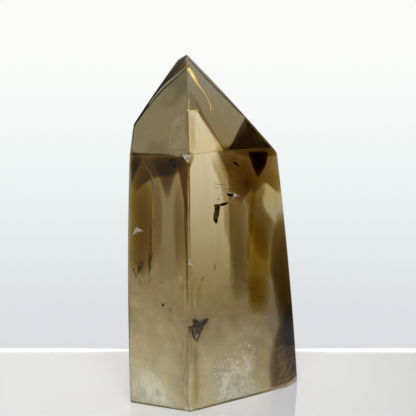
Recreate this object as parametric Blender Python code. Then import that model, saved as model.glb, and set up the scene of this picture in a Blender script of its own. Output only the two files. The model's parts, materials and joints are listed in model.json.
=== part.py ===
"""Polished smoky quartz point: one natural crystal, sawn flat to stand and ground to a six-faced tip.

Metres, +Z up. The sawn base rests on z = 0, with the middle of the crystal's bounding box over the
origin. -Y is the front, where the long front edge between the two best faces looks out.
"""

import math

import bmesh
import bpy
from mathutils import Vector

# A face is a flat plane: its bearing (degrees round from the front, -Y, towards +X), how far its
# outward normal leans up from level (degrees), and its reach (metres from the pivot to the plane).
FOOT_PIVOT = Vector((0.0, 0.0, 0.0))
TIP_PIVOT = Vector((0.0, 0.0, 0.076))

PRISM_FACES = {
    "front_left": (-23.7, 2.2, 0.02211),
    "front_right": (36.4, 2.4, 0.01216),
    "left": (-93.1, 0.1, 0.02428),
    "right": (86.0, 5.6, 0.02394),
    "back_left": (-150.8, 3.2, 0.02025),
    "back_right": (165.4, 2.7, 0.01901),
}
TIP_FACES = {
    "tip_front_left": (-24.1, 35.0, 0.01277),
    "tip_front_right": (34.6, 33.6, 0.00515),
    "tip_left": (-94.6, 31.3, 0.02202),
    "tip_right": (98.1, 41.2, 0.00949),
    "tip_back_left": (-174.2, 17.4, 0.01335),
    "tip_back_right": (148.8, 23.0, 0.01946),
}
# Narrow facets that the polisher laid along the two ridges that run down from the very tip.
RIDGE_FACETS = {
    "ridge_left": (-35.9, 38.8, 0.01540),
    "ridge_right": (52.8, 39.7, 0.00693),
}
# The right corner of the foot is knocked off and polished over.
FOOT_FACETS = {"foot_clip": (57.1, -27.9, 0.01540)}

BLOCK_SIZE = 0.3  # the rough block that the faces are cut from
EDGE_WEAR = 0.0003  # width of the softened edges
EDGE_STEPS = 2
QUARTZ_COLOUR = (0.24, 0.18, 0.10, 1.0)
QUARTZ_ROUGHNESS = 0.03
QUARTZ_IOR = 1.544


def clear_scene():
    for thing in list(bpy.data.objects):
        bpy.data.objects.remove(thing, do_unlink=True)


def outward(bearing, lean):
    """Unit normal of a face from its bearing and lean."""
    turn, rise = math.radians(bearing), math.radians(lean)
    return Vector((math.sin(turn) * math.cos(rise), -math.cos(turn) * math.cos(rise), math.sin(rise)))


def cut_face(rough, point, normal):
    """Grinds away everything beyond the plane and closes the crystal with the new flat face."""
    everything = rough.verts[:] + rough.edges[:] + rough.faces[:]
    bmesh.ops.bisect_plane(rough, geom=everything, plane_co=point, plane_no=normal, clear_outer=True)
    rim = [edge for edge in rough.edges if edge.is_boundary]
    if rim:
        bmesh.ops.contextual_create(rough, geom=rim)


def ground_crystal():
    """The crystal with razor edges: a block ground back to each face in turn."""
    rough = bmesh.new()
    bmesh.ops.create_cube(rough, size=BLOCK_SIZE)
    cut_face(rough, FOOT_PIVOT, Vector((0.0, 0.0, -1.0)))
    for pivot, faces in (
        (FOOT_PIVOT, PRISM_FACES),
        (TIP_PIVOT, TIP_FACES),
        (TIP_PIVOT, RIDGE_FACETS),
        (FOOT_PIVOT, FOOT_FACETS),
    ):
        for bearing, lean, reach in faces.values():
            normal = outward(bearing, lean)
            cut_face(rough, pivot + reach * normal, normal)
    return rough


def soften_edges(crystal):
    """Every polished edge is worn to a narrow rounded band."""
    bmesh.ops.bevel(
        crystal,
        geom=crystal.edges[:],
        offset=EDGE_WEAR,
        offset_type="OFFSET",
        segments=EDGE_STEPS,
        profile=0.5,
        affect="EDGES",
        clamp_overlap=True,
    )


def quartz_material():
    quartz = bpy.data.materials.new("smoky_quartz")
    quartz.use_nodes = True
    shader = quartz.node_tree.nodes["Principled BSDF"]
    shader.inputs["Base Color"].default_value = QUARTZ_COLOUR
    shader.inputs["Roughness"].default_value = QUARTZ_ROUGHNESS
    shader.inputs["IOR"].default_value = QUARTZ_IOR
    shader.inputs["Transmission Weight"].default_value = 1.0
    return quartz


def make_point():
    crystal = ground_crystal()
    soften_edges(crystal)
    bmesh.ops.recalc_face_normals(crystal, faces=crystal.faces[:])
    mesh = bpy.data.meshes.new("quartz_point")
    crystal.to_mesh(mesh)
    crystal.free()
    mesh.materials.append(quartz_material())
    point = bpy.data.objects.new("quartz_point", mesh)
    bpy.context.scene.collection.objects.link(point)
    return point


clear_scene()
make_point()
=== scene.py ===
# %% [markdown]
# # A polished smoky quartz point, made in Blender
#
# The real object is one piece of rock crystal, about ten centimetres tall, that somebody
# cut to a six-sided tower with a six-sided tip and polished all over.  It is clear enough
# to see through, brown like weak tea, and cloudy near its foot.
#
# This notebook gives that solid its real surface, its colour and all that is inside it.
# One unit of Blender is a metre, so small things are written in millimetres and multiplied
# by `MM`.

# %% Load the frame
import json
import math

import bmesh
import bpy
import numpy as np
from mathutils import Matrix, Vector

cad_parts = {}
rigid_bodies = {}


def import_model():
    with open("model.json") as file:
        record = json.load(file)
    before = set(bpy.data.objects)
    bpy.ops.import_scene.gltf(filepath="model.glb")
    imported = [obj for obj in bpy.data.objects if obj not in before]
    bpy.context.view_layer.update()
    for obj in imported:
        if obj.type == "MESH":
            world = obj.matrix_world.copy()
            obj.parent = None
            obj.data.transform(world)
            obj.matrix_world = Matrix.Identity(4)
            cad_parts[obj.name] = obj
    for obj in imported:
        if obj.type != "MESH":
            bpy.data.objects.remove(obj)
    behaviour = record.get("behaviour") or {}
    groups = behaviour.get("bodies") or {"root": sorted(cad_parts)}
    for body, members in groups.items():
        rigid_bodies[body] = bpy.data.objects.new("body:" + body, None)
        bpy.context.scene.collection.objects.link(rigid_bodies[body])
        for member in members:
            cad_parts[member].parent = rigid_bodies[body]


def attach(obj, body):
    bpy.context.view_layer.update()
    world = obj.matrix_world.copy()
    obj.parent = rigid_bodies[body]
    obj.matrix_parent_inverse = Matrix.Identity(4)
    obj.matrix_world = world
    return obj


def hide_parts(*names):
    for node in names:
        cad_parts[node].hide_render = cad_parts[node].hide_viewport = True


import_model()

MM = 0.001
scene = bpy.context.scene
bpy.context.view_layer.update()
tower = next(o for o in bpy.data.objects if o.name.split(".")[0] == "quartz_point")

# %% [markdown]
# ## Reading the flat faces of the solid
#
# A lapidary works face by face: each one is ground flat on a wheel, at its own bearing and
# its own lean.  The solid knows those faces only as loose triangles, so the first helper
# gathers triangles that look the same way into faces.  Strips that are thinner than half a
# millimetre are the worn edges, and they are left out: the edges get a finer rounding below.

# %% Gather the triangles into ground faces
THINNEST_FACE = 0.5 * MM


def ground_faces(obj):
    me = obj.data
    me.calc_loop_triangles()
    faces = []
    for tri in me.loop_triangles:
        a, b, c = (me.vertices[i].co.copy() for i in tri.vertices)
        normal = (b - a).cross(c - a)
        area = normal.length / 2
        if area < 1e-12:
            continue
        normal.normalize()
        for face in faces:
            if face["normal"].dot(normal) > 0.99999:
                break
        else:
            face = dict(normal=normal, area=0.0, moment=Vector(), corners=[])
            faces.append(face)
        face["area"] += area
        face["moment"] += area * (a + b + c) / 3
        face["corners"] += [a, b, c]
    kept = []
    for face in faces:
        points = np.array([tuple(p) for p in face["corners"]])
        length = np.linalg.norm(points[:, None] - points[None], axis=2).max()
        if face["area"] / length < THINNEST_FACE:
            continue
        face["middle"] = face["moment"] / face["area"]
        face["bearing"] = math.degrees(math.atan2(face["normal"].x, -face["normal"].y))
        face["lean"] = math.degrees(math.asin(max(-1, min(1, face["normal"].z))))
        away = points - np.array(tuple(face["middle"]))
        face["reach2"] = float(np.percentile((away**2).sum(1), 60))
        kept.append(face)
    return sorted(kept, key=lambda f: (f["lean"] > 15, f["bearing"]))


FACES = ground_faces(tower)
for f in FACES:
    print("face bearing %6.1f lean %5.1f  area %6.1f mm2" % (f["bearing"], f["lean"], f["area"] * 1e6))

# %% [markdown]
# ## Names for the faces that matter
#
# Two tall faces and two tip faces look towards the front, and everything inside is seen
# through them.  A face is found by asking for the one that looks nearest to a direction,
# which still works if the solid is made again with slightly other angles.

# %% Pick faces by where they look
def face_near(bearing, lean):
    """The ground face that looks nearest to a bearing (0 = front, + = right) and a lean."""
    b, l = math.radians(bearing), math.radians(lean)
    aim = Vector((math.sin(b) * math.cos(l), -math.cos(b) * math.cos(l), math.sin(l)))
    return max(FACES, key=lambda f: f["normal"].dot(aim))


def meet(*faces):
    """The corner where three flat faces meet."""
    rows = Matrix([tuple(f["normal"]) for f in faces])
    return rows.inverted() @ Vector([f["normal"].dot(f["middle"]) for f in faces])


LEFT, RIGHT = face_near(-23.7, 2), face_near(36.4, 2)
TIP_LEFT, TIP_RIGHT = face_near(-24, 35), face_near(35, 34)
FOOT = face_near(0, -89)
FOOT_CORNER = meet(LEFT, RIGHT, FOOT)
SHOULDER = meet(LEFT, RIGHT, TIP_LEFT)
for name, corner in (("foot corner", FOOT_CORNER), ("shoulder", SHOULDER)):
    print(name, [round(c / MM, 2) for c in corner])

# %% [markdown]
# ## A surface that is not quite flat
#
# Polishing on a soft wheel never leaves a true plane.  Each face ends up very slightly
# domed, its edges lose their sharpness, and shallow ripples run along it.  None of this
# can be seen on the outside, but clear stone bends every ray that crosses it, so these
# small departures decide how the inside looks.
#
# The easiest way to hold all of it is one function, `height`, that says how far a point
# stands outside the finished surface.  Every face gives its own distance, with a dome
# added; a soft maximum joins them and rounds the edges; small sums of sines add the
# ripples; and a chip is a ball that takes a bite out of an edge.

# %% How far a point stands outside the polished surface
PRISM_DOME, TIP_DOME = 1.15, 0.55          # radius of each slightly domed face, in metres
EDGE_ROUND = 0.02 * MM                     # how softly two faces meet
RIPPLE = 0.004 * MM                        # depth of the polisher's ripples

NORMALS = np.array([tuple(f["normal"]) for f in FACES])
MIDDLES = np.array([tuple(f["middle"]) for f in FACES])
CURVES = np.array([0.0 if f["lean"] < -80 else 1 / (TIP_DOME if f["lean"] > 15 else PRISM_DOME)
                   for f in FACES])
SWELL = CURVES / 2 * np.array([f["reach2"] for f in FACES])
RIPPLED = np.array([0.0 if f["lean"] < -80 else 1.0 for f in FACES])


def chip(share, forward, radius, rough):
    """A bite out of the front edge: share of the way up it, then mm for the ball that bites."""
    out = (LEFT["normal"] + RIGHT["normal"]).normalized()
    return FOOT_CORNER.lerp(SHOULDER, share) + out * forward * MM, radius * MM, rough * MM


CHIPS = [chip(1.0, 0.75, 1.10, 0.05), chip(0.0, 0.55, 0.90, 0.06)]


def ripples(P):
    """Long shallow grooves, closer together across a face than along it."""
    x, y, z = (P / MM).T
    turn = 0.9 * x + 1.3 * y
    return (np.sin(0.55 * turn + 0.05 * z + 1.0) + 0.7 * np.sin(0.93 * x - 0.71 * y + 0.11 * z)
            + 0.6 * np.sin(0.23 * z + 0.31 * x + 2.0) + 0.4 * np.sin(1.9 * turn - 0.07 * z))


def flat_gaps(P):
    """How far each point stands outside each flat face."""
    return P @ NORMALS.T - (NORMALS * MIDDLES).sum(1)


def gaps(P):
    """The same for the domed and rippled faces."""
    far2 = ((P[:, None] - MIDDLES[None])**2).sum(2)
    return flat_gaps(P) + CURVES / 2 * far2 - SWELL - RIPPLE * ripples(P)[:, None] * RIPPLED


def height(P):
    """How far each point stands outside the finished surface: negative inside the stone."""
    gap = gaps(P)
    top = gap.max(1)
    g = top + EDGE_ROUND * np.log(np.exp((gap - top[:, None]) / EDGE_ROUND).sum(1))
    for centre, radius, rough in CHIPS:
        out = P - np.array(centre)
        dist = np.linalg.norm(out, axis=1)
        x, y, z = (out / MM).T
        shell = (np.sin(7.1 * x + 2 * np.sin(5.3 * z)) * np.sin(6.3 * y + 4.1 * z)
                 + 0.5 * np.sin(14 * x + 11 * z))
        g = np.maximum(g, radius - dist + rough * shell)
    return g


def outward(P, step=2e-6):
    """The direction in which `height` grows, found by looking a little way along each axis."""
    return np.stack([(height(P + d) - height(P - d)) / (2 * step) for d in np.eye(3) * step], 1)


print("faces:", len(FACES), "domes of", PRISM_DOME, "and", TIP_DOME, "m")

# %% [markdown]
# ## The tower itself
#
# A block is cut by every ground face in turn, which is how the real one was made.  The
# flat faces then need enough small cells to follow the domes and ripples, and several
# narrow rows beside every edge so that the rounding there is smooth.  Thin slices parallel
# to each face make the rows, and slices along three axes make the cells.

# %% Cut a block by every face, then divide it
BLOCK = 0.3                                # side of the block, in metres
EDGE_ROWS = (0.01, 0.025, 0.05, 0.1, 0.25, 0.7)     # mm under each face
CELL = 2.0 * MM


def slice_by(bm, where, direction, keep_all=True):
    """Cut along a plane; with keep_all off, what lies beyond it is ground away."""
    parts = bm.verts[:] + bm.edges[:] + bm.faces[:]
    bmesh.ops.bisect_plane(bm, geom=parts, plane_co=where, plane_no=direction, dist=1e-6,
                           clear_outer=not keep_all)


def cut_block():
    bm = bmesh.new()
    bmesh.ops.create_cube(bm, size=BLOCK)
    for face in FACES:
        slice_by(bm, face["middle"], face["normal"], keep_all=False)
        rim = [e for e in bm.edges if e.is_boundary]
        if rim:
            bmesh.ops.contextual_create(bm, geom=rim)
    bmesh.ops.dissolve_degenerate(bm, dist=1e-6, edges=bm.edges[:])
    bmesh.ops.recalc_face_normals(bm, faces=bm.faces[:])
    return bm


def add_rows_and_cells(bm):
    for face in FACES:
        for row in EDGE_ROWS:
            slice_by(bm, face["middle"] - face["normal"] * row * MM, face["normal"])
    low = [min(v.co[i] for v in bm.verts) for i in range(3)]
    high = [max(v.co[i] for v in bm.verts) for i in range(3)]
    for axis in range(3):
        direction = Vector([float(i == axis) for i in range(3)])
        steps = int((high[axis] - low[axis]) / CELL) + 1
        for i in range(1, steps):
            slice_by(bm, direction * (low[axis] + (high[axis] - low[axis]) * i / steps), direction)


block = cut_block()
add_rows_and_cells(block)
print("cells on the block:", len(block.faces))

# %% [markdown]
# ## From flat cells to the polished surface
#
# Each point of the block could simply be pushed out until it meets the finished surface,
# but then the narrow rows beside the edges would bunch up.  So the points first move with
# the faces that they lie near, which keeps every row at its own distance from the edge,
# and only then settle on the surface.  The cells near a chip are made finer before that.

# %% Settle the block on the surface
FINEST_CELL = 0.12 * MM                    # near a chip


def points_of(verts):
    return np.array([tuple(v.co) for v in verts])


def move_to(bm, P):
    for v, p in zip(bm.verts, P):
        v.co = p


def new_object(name, mesh):
    obj = bpy.data.objects.new(name, mesh)
    scene.collection.objects.link(obj)
    return obj


def new_mesh(name, bm, smooth=None):
    """Turn a bmesh into a mesh, and let go of the bmesh."""
    me = bpy.data.meshes.new(name)
    bm.to_mesh(me)
    bm.free()
    if smooth is not None:
        me.polygons.foreach_set("use_smooth", [smooth] * len(me.polygons))
    return me


def fit_to_domes(P, rounds=4, reach=1.0 * MM):
    """Carry flat cells over to the domes, so that each edge row keeps its distance from the edge."""
    flat = flat_gaps(P)
    near = np.exp(flat / reach)
    Q = P.copy()
    for _ in range(rounds):
        miss = gaps(Q) - flat
        pull = np.einsum("pf,fi,fj->pij", near, NORMALS, NORMALS) + 1e-4 * np.eye(3)
        push = np.einsum("pf,pf,fi->pi", near, miss, NORMALS)
        Q = Q - np.linalg.solve(pull, push[..., None])[..., 0]
    return Q


def move_back(P, beyond):
    """Move points along the slope of `height` by the distance that each stands beyond its limit."""
    slope = outward(P)
    return P - (beyond / (slope**2).sum(1))[:, None] * slope


def polish(bm):
    for centre, radius, rough in CHIPS:
        for _ in range(4):
            near = [e for e in bm.edges if e.calc_length() > FINEST_CELL
                    and ((e.verts[0].co + e.verts[1].co) / 2 - Vector(centre)).length
                    < radius * 1.1 + e.calc_length() / 2]
            if near:
                bmesh.ops.subdivide_edges(bm, edges=near, cuts=1, use_grid_fill=True)
    bmesh.ops.triangulate(bm, faces=[f for f in bm.faces if len(f.verts) > 4])
    P = fit_to_domes(points_of(bm.verts))
    for _ in range(5):
        P = move_back(P, height(P))
    move_to(bm, P)
    me = new_mesh("crystal_body", bm, smooth=True)
    slope = outward(points_of(me.vertices))
    me.normals_split_custom_set_from_vertices(slope / np.linalg.norm(slope, axis=1)[:, None])
    return new_object("crystal_body", me)


crystal = polish(block)
print("triangles:", sum(len(p.vertices) - 2 for p in crystal.data.polygons))

# %% [markdown]
# ## Smoky glass
#
# Quartz bends light a little more than water and less than most window glass: its index is
# 1.544.  The brown comes from the depth of stone that light has crossed, so it belongs in
# the volume and not on the surface: thin corners stay pale, long paths turn amber.
# `Volume Absorption` takes away `density * (1 - colour)` of each colour in every metre, so
# its density and colour are worked out from the three losses.
#
# The surface itself has a finish too.  Under the lamp the polish shows faint upright
# streaks, so a stretched noise tints the glass a little, and a very fine one roughens its
# normal.  A few short helpers keep such node patterns readable.

# %% Helpers for patterns
def link(tree, value, socket):
    if isinstance(value, bpy.types.NodeSocket):
        tree.links.new(value, socket)
    else:
        socket.default_value = value


def add_node(tree, kind, **inputs):
    """A node with its inputs wired or set; a space in an input's name is written as _."""
    node = tree.nodes.new(kind)
    for key, value in inputs.items():
        link(tree, value, node.inputs[key.replace("_", " ")])
    return node


def math_node(tree, kind, a, b=0.0, clamp=False):
    node = tree.nodes.new("ShaderNodeMath")
    node.operation = kind
    node.use_clamp = clamp
    link(tree, a, node.inputs[0])
    link(tree, b, node.inputs[1])
    return node.outputs[0]


def times(tree, a, b, clamp=False):
    return math_node(tree, "MULTIPLY", a, b, clamp)


def own_place(tree):
    """The point's place in the piece's own coordinates."""
    return tree.nodes.new("ShaderNodeTexCoord").outputs["Object"]


def noise(tree, scale, detail=3.0, rough=0.55, stretch=(1, 1, 1), shift=(0, 0, 0), bend=0.0):
    """Noise in the piece's own coordinates; scale is in cycles per metre."""
    mapping = add_node(tree, "ShaderNodeMapping", Vector=own_place(tree), Scale=stretch, Location=shift)
    return add_node(tree, "ShaderNodeTexNoise", Vector=mapping.outputs[0], Scale=scale, Detail=detail,
                    Roughness=rough, Distortion=bend).outputs[0]


def spread(tree, value, low, high, to_low=0.0, to_high=1.0):
    """A soft step from to_low, where the value is low, to to_high, where it is high."""
    node = tree.nodes.new("ShaderNodeMapRange")
    node.interpolation_type = "SMOOTHSTEP"
    ends = (("Value", value), ("From Min", low), ("From Max", high), ("To Min", to_low), ("To Max", to_high))
    for key, v in ends:
        link(tree, v, node.inputs[key])
    return node.outputs[0]


def axis_in(tree, axis):
    """One of the three coordinates, 0 across, 1 away or 2 up."""
    return add_node(tree, "ShaderNodeSeparateXYZ", Vector=own_place(tree)).outputs[axis]


def attribute(tree, name):
    node = tree.nodes.new("ShaderNodeAttribute")
    node.attribute_name = name
    return node.outputs["Fac"]


def two_tones(tree, value, dark, light):
    node = tree.nodes.new("ShaderNodeMix")
    node.data_type = "RGBA"
    link(tree, value, node.inputs["Factor"])
    node.inputs["A"].default_value = dark + (1,)
    node.inputs["B"].default_value = light + (1,)
    return node.outputs["Result"]


def new_material(name, roughness=None, specular=None):
    m = bpy.data.materials.new(name)
    m.use_nodes = True
    shader = m.node_tree.nodes["Principled BSDF"]
    if roughness is not None:
        shader.inputs["Roughness"].default_value = roughness
    if specular is not None:
        shader.inputs["Specular IOR Level"].default_value = specular
    return m, m.node_tree, shader


print("helpers for node patterns are ready")

# %% The stone's own material
QUARTZ_INDEX = 1.544
LOSS = (8.0, 15.0, 37.0)                   # red, green, blue taken away per metre
POLISH_DEPTH = 0.01 * MM                   # of the finest roughness that the polish leaves
POLISH_STRENGTH = 0.05


def absorb(tree, loss):
    density = 1.25 * max(loss)
    node = tree.nodes.new("ShaderNodeVolumeAbsorption")
    node.inputs["Color"].default_value = tuple(1 - a / density for a in loss) + (1,)
    node.inputs["Density"].default_value = density
    tree.links.new(node.outputs[0], tree.nodes["Material Output"].inputs["Volume"])


quartz, tree, glass = new_material("smoky_quartz_glass", roughness=0.0)
streaks = spread(tree, noise(tree, 620.0, detail=5.0, rough=0.6, stretch=(1, 1, 0.045)), 0.36, 0.64)
link(tree, two_tones(tree, streaks, (0.93, 0.925, 0.91), (1.0, 1.0, 1.0)), glass.inputs["Base Color"])
polish_bump = add_node(tree, "ShaderNodeBump", Strength=POLISH_STRENGTH, Distance=POLISH_DEPTH,
                       Height=noise(tree, 1800.0, detail=2.0, stretch=(1, 1, 0.12)))
tree.links.new(polish_bump.outputs[0], glass.inputs["Normal"])
glass.inputs["Transmission Weight"].default_value = 1.0
glass.inputs["IOR"].default_value = QUARTZ_INDEX
absorb(tree, LOSS)
crystal.data.materials.append(quartz)
print("of white light, 50 mm of stone lets through",
      [round(math.exp(-loss * 50 * MM), 2) for loss in LOSS])

# %% [markdown]
# ## The camera
#
# The long front edge of the tower faces a camera that stands 21 cm away, a little above
# the middle, and looks slightly down.  It is a long lens, so the upright edges stay nearly
# upright.

# %% Camera
PIXELS = 416
FOCAL_PIXELS = 800
CAMERA_FROM_FOOT = Vector((4.7, -213.56, 80.2)) * MM      # from the front corner of the foot
LOOK_DOWN = 6.277                                         # degrees

front_corner = min((v.co for v in tower.data.vertices if v.co.z < MM), key=lambda c: c.y)
lens = bpy.data.cameras.new("camera")
camera = new_object("camera", lens)
lens.sensor_width = 36
lens.lens = FOCAL_PIXELS / PIXELS * lens.sensor_width
lens.clip_start = 0.01
camera.location = Vector((front_corner.x, front_corner.y, 0)) + CAMERA_FROM_FOOT
camera.rotation_euler = (math.radians(90 - LOOK_DOWN), 0, 0)
scene.camera = camera
print("camera at", [round(c / MM, 1) for c in camera.location], "mm")

# %% [markdown]
# ## Finding places under a face
#
# Everything inside the stone is seen through one of its front faces, so each thing is
# placed from a face: so many millimetres across, so many up along it, and so many deep.
# Across and up start at the front corner of the foot for the two tall faces, and at the
# point where the front edge meets the tip for the tip faces.
#
# It is easier to say where something is *seen*.  The outlines below are therefore chosen as
# pixels across and down in the camera's square view, and `seen` works out the rest: it
# follows the line of sight to the face, bends it there by Snell's law as quartz does, and
# goes on to the wanted depth.  If the camera or a face is changed, the places follow.

# %% Places under a face
def face_axes(face):
    """Where a face is measured from, and its directions across and up."""
    side = Vector((0, 0, 1)).cross(face["normal"]).normalized()
    return (FOOT_CORNER if abs(face["lean"]) < 15 else SHOULDER), side, face["normal"].cross(side)


def under(face, across, up, deep):
    start, side, rise = face_axes(face)
    return start + (side * across + rise * up - face["normal"] * deep) * MM


def seen(face, deep, pixels):
    """Pixels across and down, as millimetres across and up on a face at some depth."""
    start, side, rise = face_axes(face)
    normal, eye, turn = face["normal"], camera.location, camera.rotation_euler.to_matrix()
    places = []
    for x, y in pixels:
        sight = (turn @ Vector((x - PIXELS / 2, PIXELS / 2 - y, -FOCAL_PIXELS))).normalized()
        hit = eye + sight * (normal.dot(face["middle"] - eye) / normal.dot(sight))
        facing = -sight.dot(normal)
        inner = math.sqrt(1 - (1 - facing**2) / QUARTZ_INDEX**2)
        bent = sight / QUARTZ_INDEX + normal * (facing / QUARTZ_INDEX - inner)
        place = (hit + bent * (deep * MM / inner) - start) / MM
        places.append((place.dot(side), place.dot(rise)))
    return places


print("the middle of the view, 3 mm deep:", [round(c, 1) for c in seen(RIGHT, 3.0, [(208, 208)])[0]])

# %% [markdown]
# ## Smoke: darker zones in the stone
#
# Smoky quartz is brown where natural radiation reached it, and the colour follows the old
# growth faces, so a finished point shows soft dark and amber bands that run up and down.
# Each band is a lens with a soft rim, made of nothing but extra absorption: it bends no
# light, because both sides of it are the same stone.  A few bands are painted shade, not
# smoke: the dark lines along the front edge and under the shoulder, the dark rims at the
# left and right outline and the dark facet on the tip.  There the stone shows only the
# darkness that its edges and outline bend in from the room.

# %% A lens from an outline
MARGIN = 0.35 * MM                         # nothing inside comes nearer to the surface


def smooth_loop(points, per_side, closed=True):
    """A Catmull-Rom curve through points given in millimetres on a face."""
    pts = [np.array(p, float) for p in points]
    n = len(pts)
    out = []
    for i in range(n if closed else n - 1):
        a, b, c, d = ((pts[(i + k) % n] if closed else pts[max(0, min(n - 1, i + k))]) for k in (-1, 0, 1, 2))
        for s in range(per_side):
            t = s / per_side
            out.append(0.5 * (2 * b + (c - a) * t + (2 * a - 5 * b + 4 * c - d) * t**2
                              + (3 * b - a - 3 * c + d) * t**3))
    return out if closed else out + [pts[-1]]


def lens_shape(bm, face, deep, outline, thick, rings=5, per_side=5, ragged=0.0, sharp=1.0, bow=0.0, seed=1):
    """A closed lens that follows an outline and thins to nothing at its rim.
    Two attributes are kept for the finish: how far inside the rim a point lies, to fade with, and
    which faces make the front wall."""
    inward = bm.verts.layers.float.new("inward")
    front = bm.faces.layers.float.new("front_wall")
    dice = np.random.default_rng(seed)
    rim = np.array(smooth_loop(outline, per_side))
    middle = rim.mean(0)
    rim = middle + (rim - middle) * (1 + ragged * dice.uniform(-1, 1, (len(rim), 1)))
    count = len(rim)
    sides = []
    for side in (-1, 1):
        tip = bm.verts.new(under(face, *middle, deep + bow + side * thick / 2))
        tip[inward] = 1.0
        layers = []
        for r in range(1, rings + 1):
            s = r / rings
            if r == rings:
                layers.append(None)
                continue
            half = side * thick / 2 * (1 - s**2)**sharp + bow * (1 - s**2)
            layers.append([bm.verts.new(under(face, *(middle + (p - middle) * s), deep + half)) for p in rim])
            for v in layers[-1]:
                v[inward] = 1 - s
        sides.append((tip, layers))
    edge = [bm.verts.new(under(face, *p, deep)) for p in rim]
    for (tip, layers), flip in zip(sides, (False, True)):
        layers[-1] = edge
        for k in range(count):
            j = (k + 1) % count
            loops = [(tip, layers[0][k], layers[0][j])]
            loops += [(inner[k], outer[k], outer[j], inner[j]) for inner, outer in zip(layers, layers[1:])]
            for loop in loops:
                bm.faces.new(loop[::-1] if flip else loop)[front] = 0.0 if flip else 1.0


def ribbon_shape(bm, face, path, deep, width, thick, per_side=4, sides=6):
    """A closed flat ribbon along a path; width and depth may change from point to point."""
    deep = np.atleast_1d(deep)
    line = smooth_loop(path, per_side, closed=False)
    n = len(line)
    steps = np.linspace(0, 1, n)
    wide = np.interp(steps, np.linspace(0, 1, len(width)), width)
    lower = np.interp(steps, np.linspace(0, 1, len(deep)), deep)
    hoops = []
    for i, p in enumerate(line):
        ahead = line[min(n - 1, i + 1)] - line[max(0, i - 1)]
        across = np.array([-ahead[1], ahead[0]]) / max(np.linalg.norm(ahead), 1e-9)
        hoop = []
        for k in range(sides):
            a = 2 * math.pi * k / sides
            q = p + across * wide[i] / 2 * math.cos(a)
            hoop.append(bm.verts.new(under(face, *q, lower[i] + thick / 2 * math.sin(a))))
        hoops.append(hoop)
    for one, two in zip(hoops, hoops[1:]):
        for k in range(sides):
            j = (k + 1) % sides
            bm.faces.new((one[k], one[j], two[j], two[k]))
    bm.faces.new(hoops[0][::-1])
    bm.faces.new(hoops[-1])


PIECES = [crystal]


def tuck_in(bm, margin=MARGIN):
    """Nothing inside the stone may come nearer to its surface than a small margin."""
    P = points_of(bm.verts)
    for _ in range(3):
        P = move_back(P, np.maximum(height(P) + margin, 0))
    move_to(bm, P)


def keep_piece(obj):
    PIECES.append(obj)
    print(obj.name, "-", len(obj.data.polygons), "faces")


def finish_piece(name, bm, material, smooth=True):
    tuck_in(bm)
    bmesh.ops.recalc_face_normals(bm, faces=bm.faces[:])
    me = new_mesh(name, bm, smooth)
    me.materials.append(material)
    keep_piece(new_object(name, me))


print("margin below the surface:", MARGIN / MM, "mm")

# %% Strengths and colours of smoke
def smoke_material(name, *loss):
    m, tree, shader = new_material(name, roughness=0.0)
    shader.inputs["Base Color"].default_value = (1, 1, 1, 1)
    shader.inputs["Transmission Weight"].default_value = 1.0
    shader.inputs["IOR"].default_value = 1.0
    absorb(tree, loss)
    return m


INK = smoke_material("ink_smoke", 1500.0, 1800.0, 2700.0)
NIGHT = smoke_material("night_smoke", 700.0, 860.0, 1250.0)
SHADOW = smoke_material("shadow_smoke", 410.0, 550.0, 930.0)
TEA = smoke_material("tea_smoke", 260.0, 340.0, 600.0)
BROWN = smoke_material("brown_smoke", 200.0, 265.0, 430.0)
RUSSET = smoke_material("russet_smoke", 950.0, 1430.0, 3400.0)
AMBER = smoke_material("amber_smoke", 190.0, 290.0, 950.0)
HONEY = smoke_material("honey_smoke", 50.0, 110.0, 480.0)
print("kinds of smoke:", sum(m.name.endswith("_smoke") for m in bpy.data.materials))

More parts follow.
